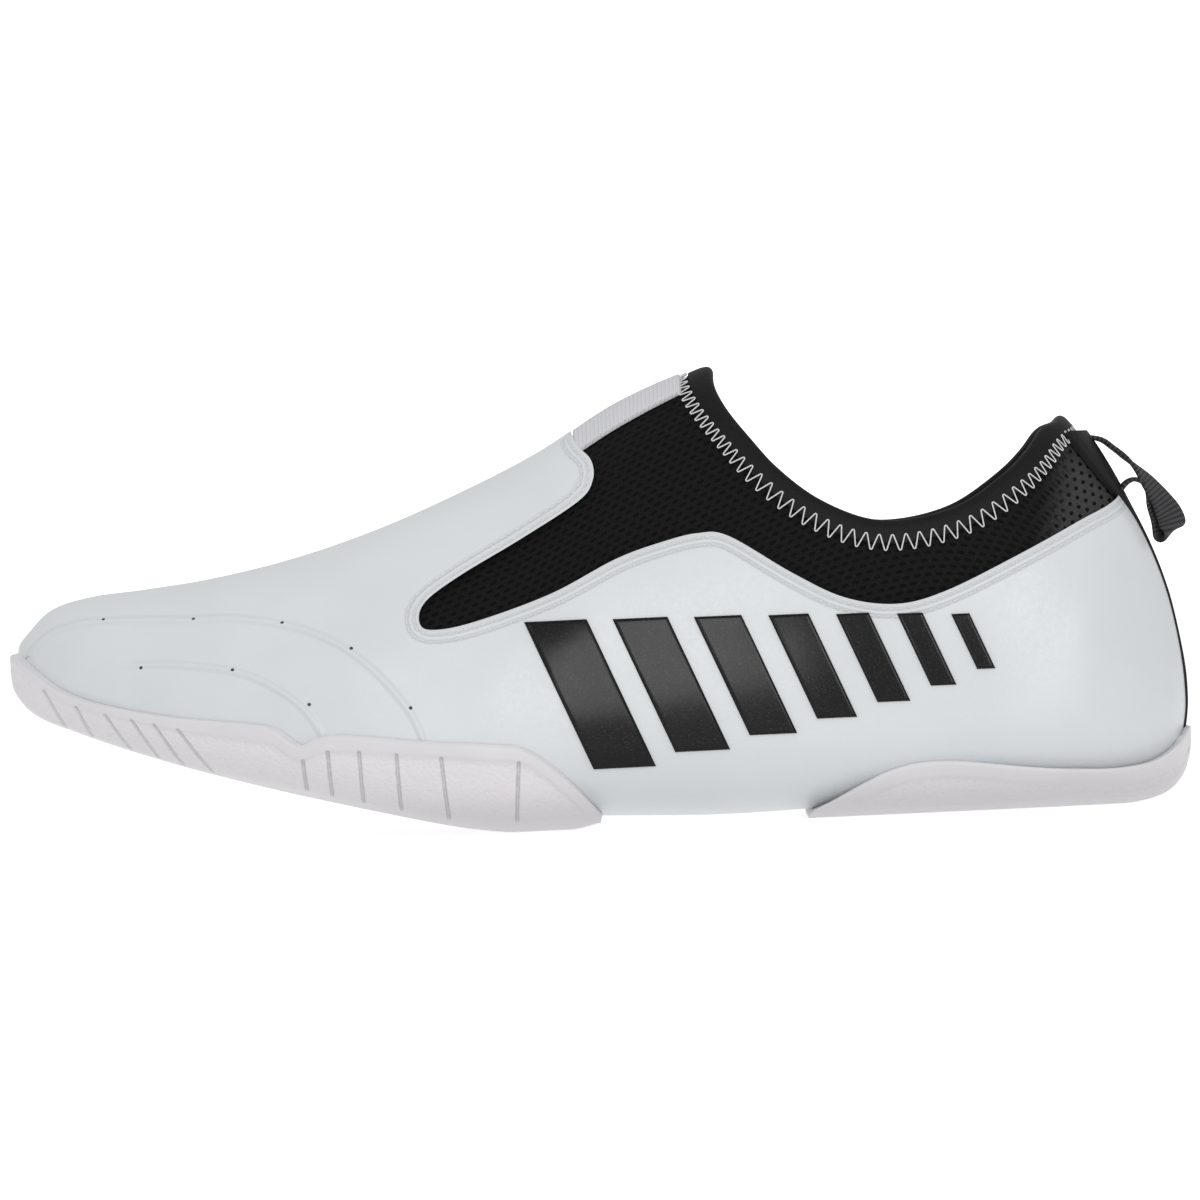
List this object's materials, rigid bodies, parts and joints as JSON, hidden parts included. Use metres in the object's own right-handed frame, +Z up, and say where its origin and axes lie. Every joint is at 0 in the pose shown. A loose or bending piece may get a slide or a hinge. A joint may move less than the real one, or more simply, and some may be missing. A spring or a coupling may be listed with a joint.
{
  "type": "slip-on training shoe",
  "caption": "Low slip-on training shoe, left foot: white synthetic leather over a black stretch mesh bootie, split pale rubber sole, webbing pull loop at the heel.",
  "frame": {"origin": "on the floor under the middle of the heel seat", "axes": "the toe points along -X, +X towards the heel's back, -Y the outer side of the foot, +Y the inner side, +Z up"},
  "size_m": [0.2888, 0.1, 0.111],
  "materials": {
    "leather_white": "smooth coated synthetic leather, low sheen",
    "mesh_black": "open spacer mesh, matte",
    "band_black": "smooth stretch binding, matte, with a white zigzag stitch below it",
    "webbing_black": "ribbed grosgrain webbing",
    "backstay_black": "plain woven strip, matte",
    "webbing_white": "ribbed white webbing",
    "gloss_black": "glossy grained film, raised",
    "rubber_pale": "moulded, satin lip and band, pebbled side panels",
    "foam_dark": "cloth-covered foam"
  },
  "bodies": {
    "root": {"upper": "mesh_black", "leather_shell": "leather_white", "outsole_forefoot": "rubber_pale", "outsole_heel": "rubber_pale", "collar_binding": "band_black", "backstay": "backstay_black", "instep_tab": "webbing_white", "pull_loop": "webbing_black", "insole": "foam_dark", "side_bar_lateral_1": "gloss_black", "side_bar_lateral_2": "gloss_black", "side_bar_lateral_3": "gloss_black", "side_bar_lateral_4": "gloss_black", "side_bar_lateral_5": "gloss_black", "side_bar_lateral_6": "gloss_black", "side_bar_lateral_7": "gloss_black", "side_bar_medial_1": "gloss_black", "side_bar_medial_2": "gloss_black", "side_bar_medial_3": "gloss_black", "side_bar_medial_4": "gloss_black", "side_bar_medial_5": "gloss_black", "side_bar_medial_6": "gloss_black", "side_bar_medial_7": "gloss_black"}
  },
  "joints": []
}
